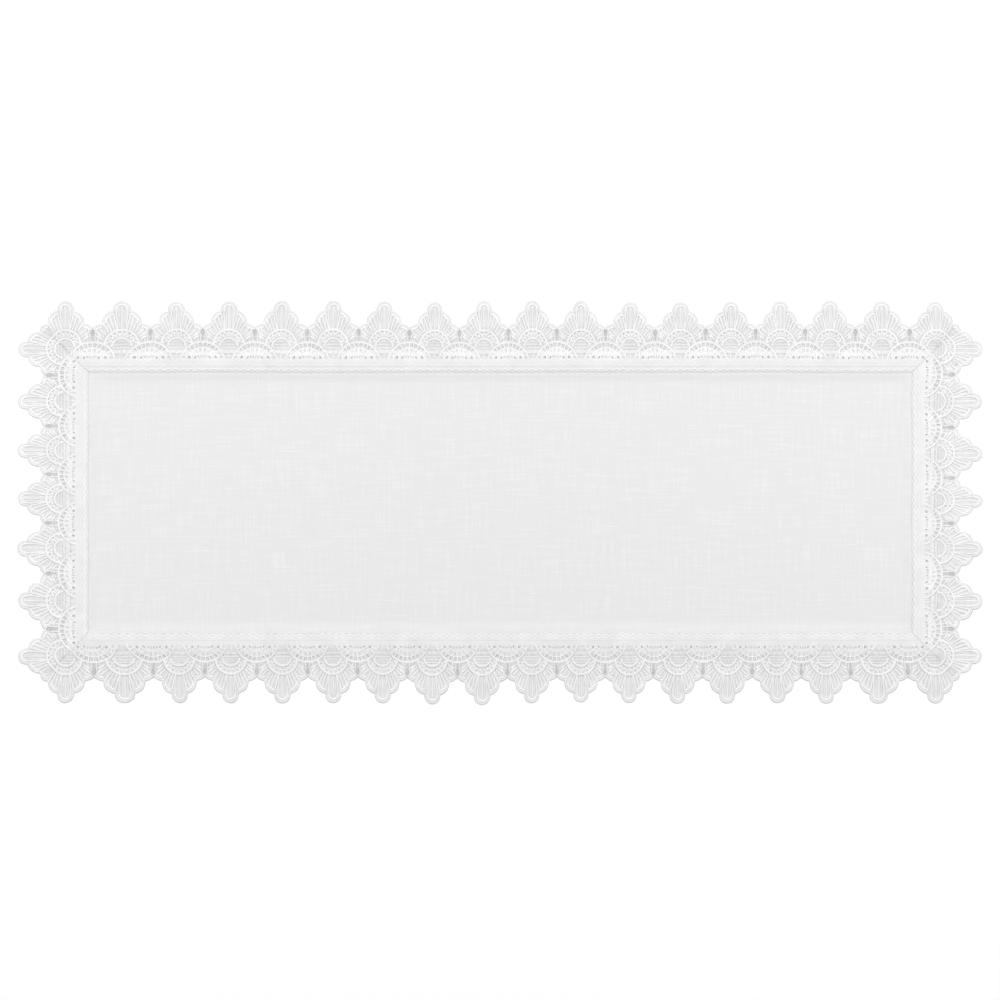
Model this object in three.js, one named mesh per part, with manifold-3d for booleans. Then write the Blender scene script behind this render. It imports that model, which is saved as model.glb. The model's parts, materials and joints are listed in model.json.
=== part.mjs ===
// Table runner: a plain-weave cloth panel with a turned hem, framed on all four sides by a strip of
// guipure lace with a scalloped outer edge. The strips lie on top of the hem, are held to it by two
// rows of lockstitch, and meet at mitred corners that a zigzag seam joins.
//
// Millimetres. +X runs along the runner, +Y across it to the back edge, +Z up. The origin is the
// middle of the underside, on the table. Side "front" is -Y and side "left" is -X.

import * as THREE from "three";
import { mergeVertices } from "three/addons/utils/BufferGeometryUtils.js";
import Module from "manifold-3d";

const wasm = await Module();
wasm.setup();

// ---- Driving dimensions -------------------------------------------------------------------------

const runnerLength = 914.5; // between the outermost fan tips, 36 inches
const runnerWidth = 381; // between the outermost fan tips, 15 inches

const laceWidth = 67.3; // a strip, from its fan tips to its inner picots
const laceOverlap = 13.3; // how far a strip lies on the hem, which is turned under by as much
const laceThickness = 1.0;
const fanPitch = 48.5; // from one fan of the lace to the next, as it is made
const cornerOffset = 45; // from an outer corner to the axis of the first fan

const clothThickness = 0.6;
const threadThickness = 0.25;
const layerGap = 0.3; // air between pieces that lie on each other
const tableGap = 0.05; // air between the bobbin threads and the table

const hemSlack = 1.5; // level cloth past the raw edge of the hem, before it steps down
const dropLength = 6; // run over which cloth or lace steps down to the table
const rowInset = 2.8; // from the fold, or from the lace's inner picots, to a row of stitches

const seamPitch = 5; // one zigzag of a corner seam, along the mitre
const seamReach = 1.1; // half the width of a corner seam
const seamMargin = 2; // from a corner seam to the scalloped edge and to the outer row of stitches

// One fan of the lace, from its axis and from the line of the fan tips.
const crownNotch = new THREE.Vector2(7.5, 9); // between the crown petal and a side petal
const sideNotch = new THREE.Vector2(15.9, 21.2); // between a side petal and a low petal
const valleyDepth = 24.1; // where the low petals of two fans meet
const crownRise = crownNotch.y; // rise of each petal's arc over its chord
const sideRise = 4.1;
const lowRise = 1.8;
const slotTop = 26.6; // the open slot below a valley
const slotHeight = 6.6;
const slotWidth = 4.4;

// ---- Levels and places that follow from them ----------------------------------------------------

const hemBottom = tableGap + threadThickness + layerGap;
const hemTop = hemBottom + clothThickness;
const borderBottom = hemTop + layerGap;
const borderTop = borderBottom + clothThickness;
const headingBottom = borderTop + layerGap;
const headingTop = headingBottom + laceThickness;
const threadBottom = headingTop + layerGap;

const foldInset = laceWidth - laceOverlap; // from the fan tips to the folded edge of the cloth
const panelLength = runnerLength - 2 * foldInset;
const panelWidth = runnerWidth - 2 * foldInset;
const dropEnd = foldInset - layerGap; // the lace is up on the hem from here inwards
const dropStart = dropEnd - dropLength;

// ---- Materials ----------------------------------------------------------------------------------

const clothWhite = new THREE.MeshStandardMaterial({ color: 0xf3f3f1, roughness: 0.92, metalness: 0 });
const laceWhite = new THREE.MeshStandardMaterial({ color: 0xf7f7f5, roughness: 0.7, metalness: 0 });
const threadWhite = new THREE.MeshStandardMaterial({ color: 0xfafaf8, roughness: 0.6, metalness: 0 });

// ---- Solids -------------------------------------------------------------------------------------

function toSolid(geometry) {
  const bare = geometry.clone();
  bare.deleteAttribute("normal");
  bare.deleteAttribute("uv");
  const merged = mergeVertices(bare, 1e-4);
  const vertProperties = new Float32Array(merged.attributes.position.array);
  const triVerts = new Uint32Array(merged.index.array);
  return new wasm.Manifold(new wasm.Mesh({ numProp: 3, vertProperties, triVerts }));
}

function toGeometry(solid) {
  const { vertProperties, triVerts } = solid.getMesh();
  const geometry = new THREE.BufferGeometry();
  geometry.setAttribute("position", new THREE.BufferAttribute(vertProperties, 3));
  geometry.setIndex(new THREE.BufferAttribute(triVerts, 1));
  geometry.computeVertexNormals();
  return geometry;
}

function prism(shape, depth) {
  return new THREE.ExtrudeGeometry(shape, { depth, bevelEnabled: false });
}

// A rectangle of cloth or thread whose four sides share one cross-section, mitred at the corners.
// The section lists [inset from the edge, height], outwards along the underside and back over the
// top. A ring closes on itself, and anything else is closed by a flat middle.
function mitredFrame(length, width, section, isRing) {
  const positions = [];
  for (const [inset, height] of section) {
    const x = length / 2 - inset;
    const y = width / 2 - inset;
    positions.push(x, -y, height, x, y, height, -x, y, height, -x, -y, height);
  }
  const index = [];
  const bands = isRing ? section.length : section.length - 1;
  for (let band = 0; band < bands; band += 1) {
    const near = band * 4;
    const far = ((band + 1) % section.length) * 4;
    for (let corner = 0; corner < 4; corner += 1) {
      const next = (corner + 1) % 4;
      index.push(near + corner, near + next, far + next);
      index.push(near + corner, far + next, far + corner);
    }
  }
  if (!isRing) {
    const last = (section.length - 1) * 4;
    index.push(0, 2, 1, 0, 3, 2);
    index.push(last, last + 1, last + 2, last, last + 2, last + 3);
  }
  const geometry = new THREE.BufferGeometry();
  geometry.setAttribute("position", new THREE.Float32BufferAttribute(positions, 3));
  geometry.setIndex(index);
  geometry.computeVertexNormals();
  return geometry;
}

// ---- Cloth panel with its turned hem ------------------------------------------------------------

function centrePanel() {
  const shoulder = laceOverlap + hemSlack;
  const section = [
    [shoulder + dropLength, 0],
    [shoulder, borderBottom],
    [clothThickness, borderBottom],
    [clothThickness, hemTop],
    [laceOverlap, hemTop],
    [laceOverlap, hemBottom],
    [0, hemBottom],
    [0, borderTop],
    [shoulder, borderTop],
    [shoulder + dropLength, clothThickness],
  ];
  return mitredFrame(panelLength, panelWidth, section, false);
}

// ---- Rows of lockstitch, each with a needle thread on top and a bobbin thread below -------------

function stitchThread(inset, bottom) {
  const inner = inset + threadThickness;
  const top = bottom + threadThickness;
  const section = [[inner, bottom], [inset, bottom], [inset, top], [inner, top]];
  return mitredFrame(panelLength, panelWidth, section, true);
}

// ---- Lace ---------------------------------------------------------------------------------------

// Points of the arc from a to b that rises to the left of its chord, without the last point.
function petalArc(a, b, rise, steps) {
  const half = a.distanceTo(b) / 2;
  const along = b.clone().sub(a).normalize();
  const outward = new THREE.Vector2(along.y, -along.x);
  const radius = (half * half + rise * rise) / (2 * rise);
  const centre = a.clone().lerp(b, 0.5).addScaledVector(outward, rise - radius);
  const reach = Math.atan2(half, radius - rise);
  const points = [];
  for (let step = 0; step < steps; step += 1) {
    const angle = reach * ((2 * step) / steps - 1);
    const point = centre.clone();
    point.addScaledVector(outward, radius * Math.cos(angle));
    point.addScaledVector(along, radius * Math.sin(angle));
    points.push(point);
  }
  return points;
}

// The scalloped edge of one fan, from the valley on its left to the valley on its right.
function fanEdge(halfPitch) {
  const left = ({ x, y }) => new THREE.Vector2(-x, y);
  const valley = new THREE.Vector2(halfPitch, valleyDepth);
  return [
    ...petalArc(left(valley), left(sideNotch), lowRise, 3),
    ...petalArc(left(sideNotch), left(crownNotch), sideRise, 5),
    ...petalArc(left(crownNotch), crownNotch, crownRise, 8),
    ...petalArc(crownNotch, sideNotch, sideRise, 5),
    ...petalArc(sideNotch, valley, lowRise, 3),
  ];
}

// Plan of a strip along a side of the runner: x along it from its middle, y inwards from the tips.
// The fans are eased to a whole number between the corners. Past the last valley at each end the
// edge runs straight on, to where the mitre cuts it.
function stripPlan(span) {
  const between = span - 2 * cornerOffset;
  const gaps = Math.round(between / fanPitch);
  const step = between / gaps;
  const ease = step / fanPitch;
  const half = span / 2;
  const edge = [new THREE.Vector2(-half, laceWidth), new THREE.Vector2(-half, valleyDepth)];
  const slots = [];
  for (let fan = 0; fan <= gaps; fan += 1) {
    const axis = fan * step - between / 2;
    for (const { x, y } of fanEdge(fanPitch / 2)) {
      edge.push(new THREE.Vector2(axis + x * ease, y));
    }
    if (fan < gaps) {
      slots.push(slotPath(axis + step / 2));
    }
  }
  edge.push(new THREE.Vector2(between / 2 + step / 2, valleyDepth));
  edge.push(new THREE.Vector2(half, valleyDepth));
  edge.push(new THREE.Vector2(half, laceWidth));
  const plan = new THREE.Shape(edge);
  plan.holes = slots;
  return plan;
}

function slotPath(x) {
  const sides = 8;
  const points = [];
  for (let side = 0; side < sides; side += 1) {
    const angle = (2 * Math.PI * side) / sides;
    const across = (slotWidth / 2) * Math.sin(angle);
    const down = (slotHeight / 2) * (1 - Math.cos(angle));
    points.push(new THREE.Vector2(x + across, slotTop + down));
  }
  return new THREE.Path(points);
}

// Where the strip may lie: the mitres cut it, each half a gap short of the corner's diagonal.
function mitrePlan(span) {
  const back = (layerGap / 2) * Math.SQRT2;
  const outer = span / 2 - back;
  const inner = outer - laceWidth;
  return new THREE.Shape([
    new THREE.Vector2(-outer, 0),
    new THREE.Vector2(outer, 0),
    new THREE.Vector2(inner, laceWidth),
    new THREE.Vector2(-inner, laceWidth),
  ]);
}

// Section of a strip: flat on the table, up a slope, and level on the hem.
function stripSection() {
  const outside = -1;
  return new THREE.Shape([
    new THREE.Vector2(outside, 0),
    new THREE.Vector2(dropStart, 0),
    new THREE.Vector2(dropEnd, headingBottom),
    new THREE.Vector2(laceWidth, headingBottom),
    new THREE.Vector2(laceWidth, headingTop),
    new THREE.Vector2(dropEnd, headingTop),
    new THREE.Vector2(dropStart, laceThickness),
    new THREE.Vector2(outside, laceThickness),
  ]);
}

function laceStrip(span) {
  const axes = [new THREE.Vector3(0, 1, 0), new THREE.Vector3(0, 0, 1), new THREE.Vector3(1, 0, 0)];
  const section = prism(stripSection(), span);
  section.translate(0, 0, -span / 2);
  section.applyMatrix4(new THREE.Matrix4().makeBasis(...axes));
  const tall = headingTop + 2;
  const plan = prism(stripPlan(span), tall);
  plan.translate(0, 0, -1);
  const mitre = prism(mitrePlan(span), tall);
  mitre.translate(0, 0, -1);
  const strip = toSolid(plan).intersect(toSolid(mitre)).intersect(toSolid(section));
  return toGeometry(strip);
}

// ---- Corner seams -------------------------------------------------------------------------------

function laceTop(inset) {
  const rise = THREE.MathUtils.clamp((inset - dropStart) / dropLength, 0, 1);
  return laceThickness + rise * headingBottom;
}

// A zigzag thread over the mitre of a corner that lies at the origin, its sides along +X and +Y. It
// ends where the rows of stitches cross the mitre and hold it.
function cornerSeam() {
  const first = valleyDepth + seamMargin;
  const last = foldInset + rowInset - seamMargin;
  const quarters = Math.round((4 * (last - first) * Math.SQRT2) / seamPitch);
  const lift = layerGap + threadThickness;
  const points = [];
  for (let quarter = 0; quarter <= quarters; quarter += 1) {
    const inset = THREE.MathUtils.lerp(first, last, quarter / quarters);
    const aside = (seamReach * Math.sin((quarter * Math.PI) / 2)) / Math.SQRT2;
    points.push(new THREE.Vector3(inset + aside, inset - aside, laceTop(inset) + lift));
  }
  const sides = 6;
  const round = [];
  for (let side = 0; side < sides; side += 1) {
    const angle = (2 * Math.PI * side) / sides;
    const radius = threadThickness / 2;
    round.push(new THREE.Vector2(radius * Math.cos(angle), radius * Math.sin(angle)));
  }
  const extrudePath = new THREE.CatmullRomCurve3(points);
  return new THREE.ExtrudeGeometry(new THREE.Shape(round), { steps: quarters, extrudePath });
}

// ---- Assembly -----------------------------------------------------------------------------------

const runner = new THREE.Group();

function addPiece(name, geometry, material, x = 0, y = 0, turn = 0) {
  const piece = new THREE.Mesh(geometry, material.clone());
  piece.name = name;
  piece.position.set(x, y, 0);
  piece.rotation.z = turn;
  runner.add(piece);
}

const halfLength = runnerLength / 2;
const halfWidth = runnerWidth / 2;
const quarterTurn = Math.PI / 2;

addPiece("centre_panel", centrePanel(), clothWhite);

addPiece("lace_front", laceStrip(runnerLength), laceWhite, 0, -halfWidth);
addPiece("lace_back", laceStrip(runnerLength), laceWhite, 0, halfWidth, 2 * quarterTurn);
addPiece("lace_left", laceStrip(runnerWidth), laceWhite, -halfLength, 0, -quarterTurn);
addPiece("lace_right", laceStrip(runnerWidth), laceWhite, halfLength, 0, quarterTurn);

addPiece("corner_seam_front_left", cornerSeam(), threadWhite, -halfLength, -halfWidth);
addPiece("corner_seam_front_right", cornerSeam(), threadWhite, halfLength, -halfWidth, quarterTurn);
addPiece("corner_seam_back_right", cornerSeam(), threadWhite, halfLength, halfWidth, 2 * quarterTurn);
addPiece("corner_seam_back_left", cornerSeam(), threadWhite, -halfLength, halfWidth, -quarterTurn);

const stitchRows = { outer: rowInset, inner: laceOverlap - rowInset };
for (const [row, inset] of Object.entries(stitchRows)) {
  addPiece(`${row}_row_needle_thread`, stitchThread(inset, threadBottom), threadWhite);
  addPiece(`${row}_row_bobbin_thread`, stitchThread(inset, tableGap), threadWhite);
}

export default runner;
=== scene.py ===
# %% [markdown]
# # A lace-edged table runner
#
# The runner is a panel of white slub cloth, framed by four strips of guipure lace that meet in
# mitred corners. It lies flat on a table and is seen from straight above. The CAD frame gives every
# place and size: this script reads them back, hides the plain solids and puts cloth, cords, net and
# stitches where they were.
#
# Lengths are worked out in millimetres, because lace is drawn in millimetres, and are turned into
# metres when a mesh is made.

# %% Load the frame
import json
import math

import bmesh
import bpy
import numpy as np
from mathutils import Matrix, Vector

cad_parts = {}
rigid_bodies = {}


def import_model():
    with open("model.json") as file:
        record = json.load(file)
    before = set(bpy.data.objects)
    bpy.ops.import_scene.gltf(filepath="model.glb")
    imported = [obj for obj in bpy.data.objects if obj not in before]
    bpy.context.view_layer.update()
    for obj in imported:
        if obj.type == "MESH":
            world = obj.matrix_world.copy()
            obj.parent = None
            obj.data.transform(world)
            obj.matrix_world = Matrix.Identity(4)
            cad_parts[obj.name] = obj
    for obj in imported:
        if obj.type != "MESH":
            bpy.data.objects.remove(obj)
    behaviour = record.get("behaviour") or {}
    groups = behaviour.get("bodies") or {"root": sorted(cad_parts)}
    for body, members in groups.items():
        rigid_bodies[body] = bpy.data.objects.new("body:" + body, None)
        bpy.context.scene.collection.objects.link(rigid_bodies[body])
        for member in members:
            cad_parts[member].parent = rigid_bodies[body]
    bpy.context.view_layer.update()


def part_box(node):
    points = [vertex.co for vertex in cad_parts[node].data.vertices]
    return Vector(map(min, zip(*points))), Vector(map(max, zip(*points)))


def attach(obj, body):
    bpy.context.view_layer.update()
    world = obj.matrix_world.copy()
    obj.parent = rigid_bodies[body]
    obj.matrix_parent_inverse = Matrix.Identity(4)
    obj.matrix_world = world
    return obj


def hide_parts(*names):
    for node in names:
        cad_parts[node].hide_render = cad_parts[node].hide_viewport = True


for leftover in list(bpy.data.objects):
    bpy.data.objects.remove(leftover)

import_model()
MM = 0.001


def box_mm(node):
    low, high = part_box(node)
    return np.array(low) / MM, np.array(high) / MM


front_low, front_high = box_mm("lace_front")
left_low, left_high = box_mm("lace_left")
panel_low, panel_high = box_mm("centre_panel")
runner_length = -2 * left_low[0]
runner_width = -2 * front_low[1]
print(f"runner {runner_length:.1f} x {runner_width:.1f} mm")

# %% [markdown]
# ## The lie of the lace
#
# A strip is a band of lace 67 mm wide. Its fans lie on the table, and its heading lies on the turned
# hem of the panel, so the band climbs about two millimetres on its way in. Places on a strip are given
# as u along it and v inwards from the line of the fan tips, and one function says how high the lace is
# lifted at each v. The fans are eased to a whole number between the corners, as a maker eases a
# trimming so that its corners match.

# %% Sizes of the lace strips
lace_width = front_high[1] - front_low[1]
lace_thickness = 1.0
heading_lift = front_high[2] - lace_thickness
panel_half = panel_high[:2]
fold_inset = runner_length / 2 - panel_half[0]
climb_start = fold_inset - 11.0
climb_end = fold_inset - 0.3
heading_drop = 0.38  # the heading is thinner than the fans, so it lies closer to the hem
inner_edge_drop = 0.12
fan_pitch = 48.5
corner_offset = 45.0  # from a corner to the axis of the first fan


def smooth_step(values, start, end):
    t = np.clip((values - start) / (end - np.asarray(start)), 0, 1)
    return t * t * (3 - 2 * t)


def lace_lift(v):
    """The heading lies close on the hem, and its inner edge a little closer still."""
    climbed = smooth_step(v, climb_start, climb_end)
    return (heading_lift - heading_drop) * climbed - inner_edge_drop * smooth_step(v, 61.0, 66.5)


def fan_count(span):
    return round((span - 2 * corner_offset) / fan_pitch) + 1


def fan_step(span):
    return (span - 2 * corner_offset) / (fan_count(span) - 1)


print(f"lace {lace_width:.1f} mm wide, heading lifted {heading_lift:.1f} mm")
print(f"fans: {fan_count(runner_length)} along, {fan_count(runner_width)} across")

# %% [markdown]
# ## One way to add a node
#
# Materials and Geometry Nodes trees are both graphs of nodes. One helper adds a node, sets its
# properties, fills its sockets and makes its links. A socket's value may be a number, a colour, or
# the output of another node, and then it is linked.

# %% Helper for every node tree


def node(tree, kind, settings=None, **sockets):
    made = tree.nodes.new(kind)
    for name, value in (settings or {}).items():
        setattr(made, name, value)
    for name, value in sockets.items():
        number = name[2:] if name.startswith("in") else ""
        key = int(number) if number.isdigit() else name.replace("_", " ")
        if isinstance(value, bpy.types.NodeSocket):
            tree.links.new(value, made.inputs[key])
        else:
            made.inputs[key].default_value = value
    return made


def linear(hex_colour):
    channels = [int(hex_colour[i : i + 2], 16) / 255 for i in (1, 3, 5)]
    channels = [c / 12.92 if c <= 0.04045 else ((c + 0.055) / 1.055) ** 2.4 for c in channels]
    return (*channels, 1.0)


# %% [markdown]
# ## Lace thread: mercerised cotton in satin stitch
#
# Guipure lace is embroidered in cotton thread on a ground that is then dissolved, so all of it is
# thread. Mercerised cotton is bright white with a soft lustre: the fibres are smooth, and the
# parallel stitches of a cord shine a little along their length. The material is rough, with some
# sheen, a fine bump for the twist of the thread, and a slow change of tone, because no two inches
# of embroidery are packed equally. Each part of the motif has its own tone. The border cord is
# darker as painted shade on its outer flank, and the loose threads of the slots and foot holes are
# darker still as painted shade. The two short sides are a little brighter as painted light, because
# the end strips catch less of the lamps' light.

# %% Material of the lace


def lace_thread(name, dark, light):
    mat = bpy.data.materials.new(name)
    mat.use_nodes = True
    tree = mat.node_tree
    shader = tree.nodes["Principled BSDF"]
    place = node(tree, "ShaderNodeTexCoord").outputs["Object"]
    twist = node(tree, "ShaderNodeTexNoise", Vector=place, Scale=1 / (0.7 * MM), Detail=2.0)
    packed = node(tree, "ShaderNodeTexNoise", Vector=place, Scale=1 / (14 * MM), Detail=3.0)
    tone = node(tree, "ShaderNodeValToRGB", Fac=packed.outputs["Fac"])
    tone.color_ramp.elements[0].position = 0.3
    tone.color_ramp.elements[0].color = linear(dark)
    tone.color_ramp.elements[1].position = 0.7
    tone.color_ramp.elements[1].color = linear(light)
    bump = node(tree, "ShaderNodeBump", Height=twist.outputs["Fac"], Strength=0.35, Distance=0.2 * MM)
    tree.links.new(tone.outputs["Color"], shader.inputs["Base Color"])
    tree.links.new(bump.outputs["Normal"], shader.inputs["Normal"])
    shader.inputs["Roughness"].default_value = 0.62
    shader.inputs["Sheen Weight"].default_value = 0.15
    shader.inputs["Sheen Roughness"].default_value = 0.5
    shader.inputs["Specular IOR Level"].default_value = 0.3
    return mat


part_cottons = {
    # border: a darker tone as painted shade, for the shaded outer flank of the rim
    "border": ("open_satin_border", 0xDA),
    "cords": ("satin_cord", 0xE1),
    "fillings": ("satin_bar", 0xE1),
    "loops": ("satin_loop", 0xE7),
    "ribs": ("satin_rib", 0xE5),
    "ground": ("single_ground_thread", 0xE7),
    # slots: the loose threads of the slots and foot holes, darker as painted shade
    "slots": ("loose_thread_in_shade", 0xD0),
    "heading": ("flat_heading", 0xDA),
    "edging": ("wavy_edging", 0xE2),
}
# the short sides are a little brighter as painted light, since the end strips catch less of the lamps
painted_light_lifts = {"long": 0, "short": 2}
tone_range = 7


def grey(tone):
    return "#" + f"{tone:02x}" * 3


cottons = {}
for card, lift in painted_light_lifts.items():
    for part, (work, tone) in part_cottons.items():
        name = f"mercerised_cotton_{work}_{card}_sides"
        cottons[card, part] = lace_thread(name, grey(tone + lift), grey(tone + lift + tone_range))
print(f"{len(cottons)} materials of lace thread, such as", cottons["long", "ribs"].name)

# %% [markdown]
# ## Panel cloth: slub plain weave
#
# The panel is a linen-look plain weave. Its yarns are spun unevenly, so here and there a yarn
# thickens into a slub for a few centimetres, along the warp or along the weft. The eye sees faint
# short streaks that cross at right angles, on a matt white ground. Yarns and slubs are both noise,
# squeezed to the width of a yarn and drawn out along it, once for the warp and once for the weft.

# %% Material of the panel


def slub_cloth():
    mat = bpy.data.materials.new("cotton_slub_plain_weave")
    mat.use_nodes = True
    tree = mat.node_tree
    shader = tree.nodes["Principled BSDF"]
    place = node(tree, "ShaderNodeTexCoord").outputs["Object"]

    def streaks(along_x, along_y, start):
        """Noise drawn out along one yarn direction and squeezed to a yarn's width in the other."""
        size = (1 / (along_x * MM), 1 / (along_y * MM), 1.0)
        drawn = node(tree, "ShaderNodeMapping", Vector=place, Location=start, Scale=size)
        return node(tree, "ShaderNodeTexNoise", Vector=drawn.outputs[0], Scale=1.0,
                    Detail=1.0).outputs["Fac"]

    def total(a, b):
        return node(tree, "ShaderNodeMath", {"operation": "ADD"}, in0=a, in1=b).outputs[0]

    slubs = total(streaks(38, 2.3, (3.1, 7.7, 0.0)), streaks(2.3, 38, (9.3, 1.9, 4.0)))
    yarns = total(streaks(7, 0.55, (5.2, 2.7, 8.0)), streaks(0.55, 7, (1.3, 6.9, 2.0)))
    share = node(tree, "ShaderNodeMapRange", Value=slubs, From_Min=0.98, From_Max=1.4)
    tone = node(tree, "ShaderNodeValToRGB", Fac=share.outputs[0])
    tone.color_ramp.elements[0].color = linear("#dbdbdb")
    tone.color_ramp.elements[1].color = linear("#e1e1e1")
    fine = node(tree, "ShaderNodeBump", Height=yarns, Strength=0.1, Distance=0.1 * MM)
    coarse = node(tree, "ShaderNodeBump", Height=slubs, Strength=0.3, Distance=0.3 * MM,
                  Normal=fine.outputs["Normal"])
    tree.links.new(tone.outputs["Color"], shader.inputs["Base Color"])
    tree.links.new(coarse.outputs["Normal"], shader.inputs["Normal"])
    shader.inputs["Roughness"].default_value = 0.9
    shader.inputs["Sheen Weight"].default_value = 0.1
    shader.inputs["Specular IOR Level"].default_value = 0.2
    return mat


panel_cotton = slub_cloth()
print("material", panel_cotton.name)

# %% [markdown]
# ## Sewing thread and floor
#
# The stitches are spun polyester, a little glossier than cotton. The floor is a pale matt board.

# %% Materials of the thread and the floor


def plain_material(name, colour, roughness, sheen):
    mat = bpy.data.materials.new(name)
    mat.use_nodes = True
    tree = mat.node_tree
    shader = tree.nodes["Principled BSDF"]
    place = node(tree, "ShaderNodeTexCoord").outputs["Object"]
    fibre = node(tree, "ShaderNodeTexNoise", Vector=place, Scale=1 / (0.9 * MM), Detail=2.0)
    bump = node(tree, "ShaderNodeBump", Height=fibre.outputs["Fac"], Strength=0.15, Distance=0.1 * MM)
    tree.links.new(bump.outputs["Normal"], shader.inputs["Normal"])
    shader.inputs["Base Color"].default_value = linear(colour)
    shader.inputs["Roughness"].default_value = roughness
    shader.inputs["Sheen Weight"].default_value = sheen
    return mat


sewing_polyester = plain_material("spun_polyester_thread", "#e6e6e6", 0.5, 0.1)
slub_cotton = plain_material("loosely_spun_cotton_slub", "#e4e4e4", 0.85, 0.1)
board = bpy.data.materials.new("matt_white_board")
board.use_nodes = True
board_shader = board.node_tree.nodes["Principled BSDF"]
board_shader.inputs["Base Color"].default_value = linear("#fcfcfc")
board_shader.inputs["Roughness"].default_value = 0.95
board_shader.inputs["Specular IOR Level"].default_value = 0.0

# %% [markdown]
# ## Camera, floor and light
#
# The camera looks straight down from three metres through a long lens, so the far corners keep
# their true shape. The light is a broad soft ceiling, with a lamp at each end of the runner and one
# beyond its back edge: the ends get small shadows that point inwards, and the front scallops get
# the darkest rims.

# %% Camera
scene = bpy.context.scene
camera_height = 3.0
view_width = 0.948
view_middle = (-0.0002, 0.0021)
camera = bpy.data.objects.new("camera", bpy.data.cameras.new("camera"))
scene.collection.objects.link(camera)
scene.camera = camera
camera.location = (*view_middle, camera_height)
camera.data.lens = camera.data.sensor_width * camera_height / view_width
camera.data.clip_end = 20.0

# %% Floor and lamps


def sheet_object(name, points, faces, material):
    mesh = bpy.data.meshes.new(name)
    mesh.from_pydata(points, [], faces)
    mesh.materials.append(material)
    made = bpy.data.objects.new(name, mesh)
    scene.collection.objects.link(made)
    return made


floor_half = 6.0
floor_level = -0.00005
floor_signs = ((-1, -1), (1, -1), (1, 1), (-1, 1))
floor_corners = [(x * floor_half, y * floor_half, floor_level) for x, y in floor_signs]
floor = sheet_object("floor", floor_corners, [(0, 1, 2, 3)], board)


def lamp(name, place, size, power):
    """A soft box at the place, turned to the middle of the runner."""
    light = bpy.data.lights.new(name, "AREA")
    light.shape = "RECTANGLE"
    light.size, light.size_y = size
    light.energy = power
    made = bpy.data.objects.new(name, light)
    scene.collection.objects.link(made)
    made.location = place
    made.rotation_euler = (-made.location).to_track_quat("-Z", "Y").to_euler()


lamp("left_lamp", place=(-1.25, 0.1, 0.9), size=(0.5, 1.0), power=4.15)
lamp("right_lamp", place=(1.25, 0.1, 0.9), size=(0.5, 1.0), power=4.4)
lamp("back_lamp", place=(0.0, 1.3, 1.3), size=(2.4, 0.6), power=14)
lamp("overhead_lamp", place=(0.0, 0.2, 3.6), size=(1.6, 1.6), power=54)
world = bpy.data.worlds.new("white_room")
scene.world = world
world.use_nodes = True
room_light = world.node_tree.nodes["Background"]
room_light.inputs["Color"].default_value = (1, 1, 1, 1)
room_light.inputs["Strength"].default_value = 0.345
scene.view_settings.view_transform = "Standard"
print("camera, floor and lamps are in place")

# %% [markdown]
# ## Drawing the lace
#
# A lace designer draws one repeat of the motif as lines and says how heavy each line is. The same is
# done here. A stroke is a path in the plane, with half its width and half its height at every point,
# and a level above or below the middle of the lace.
# Round stretches are arcs, and the freer ones are smooth curves through a few points. What mirrors
# is drawn once, on the right of the fan's axis.

# %% Paths
borders = []
cords = []
fillings = []
ground = []
loops = []
ribs = []
painted_shade_net = []


path_spacing = 0.8


def arc(centre, radii, start, end):
    """Points round an ellipse; 0 degrees points to the tips and angles open to the right."""
    angles = np.radians([start, end])
    steps = max(4, int(abs(angles[1] - angles[0]) * max(radii) / path_spacing))
    a = np.linspace(angles[0], angles[1], steps + 1)
    return np.stack([centre[0] + radii[0] * np.sin(a), centre[1] - radii[1] * np.cos(a)], axis=1)


def curve(*points):
    """A smooth curve through the points."""
    p = np.array(points, float)
    p = np.vstack([2 * p[0] - p[1], p, 2 * p[-1] - p[-2]])
    pieces = []
    for a, b, c, d in zip(p[:-3], p[1:-2], p[2:-1], p[3:]):
        steps = max(2, int(np.linalg.norm(c - b) / path_spacing))
        t = np.linspace(0, 1, steps, endpoint=False)[:, None]
        pieces.append(0.5 * (2 * b + (c - a) * t + (2 * a - 5 * b + 4 * c - d) * t**2
                             + (3 * b - a - 3 * c + d) * t**3))
    return np.vstack([*pieces, p[-2:-1]])


def stroke(layer, path, width, height, level=0.0):
    """width and height are whole, in mm; the width is one value or one for each end, the height one
    value.
    """
    t = np.linspace(0, 1, len(path))
    first, last = np.broadcast_to(width, 2)
    half_width = (first + (last - first) * t) / 2
    layer.append((path, half_width, np.full(len(path), height / 2), level))


def stroke_pair(layer, path, width, height, level=0.0):
    stroke(layer, path, width, height, level)
    stroke(layer, path * (-1, 1), width, height, level)


# %% [markdown]
# ## The fan
#
# Five petals stand round an arch: a crown, two side petals and two low ones. A border cord runs over
# their tips in one scalloped line from valley to valley. A second, brighter cord follows close inside
# it, and its ends run down to the arch between the petals.

# %% Border cord and petals
half_pitch = fan_pitch / 2
crown_notch = np.array([7.5, 9.0])
side_notch = np.array([16.3, 21.0])
valley = np.array([half_pitch, 25.0])
petal_edges = [(crown_notch * (-1, 1), crown_notch, 9.0), (crown_notch, side_notch, 3.2),
               (side_notch, valley, 1.1)]
border_width = 2.5


def petal_edge(a, b, rise, inset, overrun=0.0):
    """The arc from a to b that rises over its chord towards the tips, moved in by inset."""
    half = np.linalg.norm(b - a) / 2
    along = (b - a) / (2 * half)
    outward = np.array([along[1], -along[0]])
    radius = (half**2 + rise**2) / (2 * rise)
    centre = (a + b) / 2 + outward * (rise - radius)
    reach_angle = math.atan2(half, radius - rise) + overrun
    steps = max(6, int(2 * reach_angle * radius / path_spacing))
    angle = np.linspace(-reach_angle, reach_angle, steps)[:, None]
    return centre + (radius - inset) * (np.cos(angle) * outward + np.sin(angle) * along)


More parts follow.
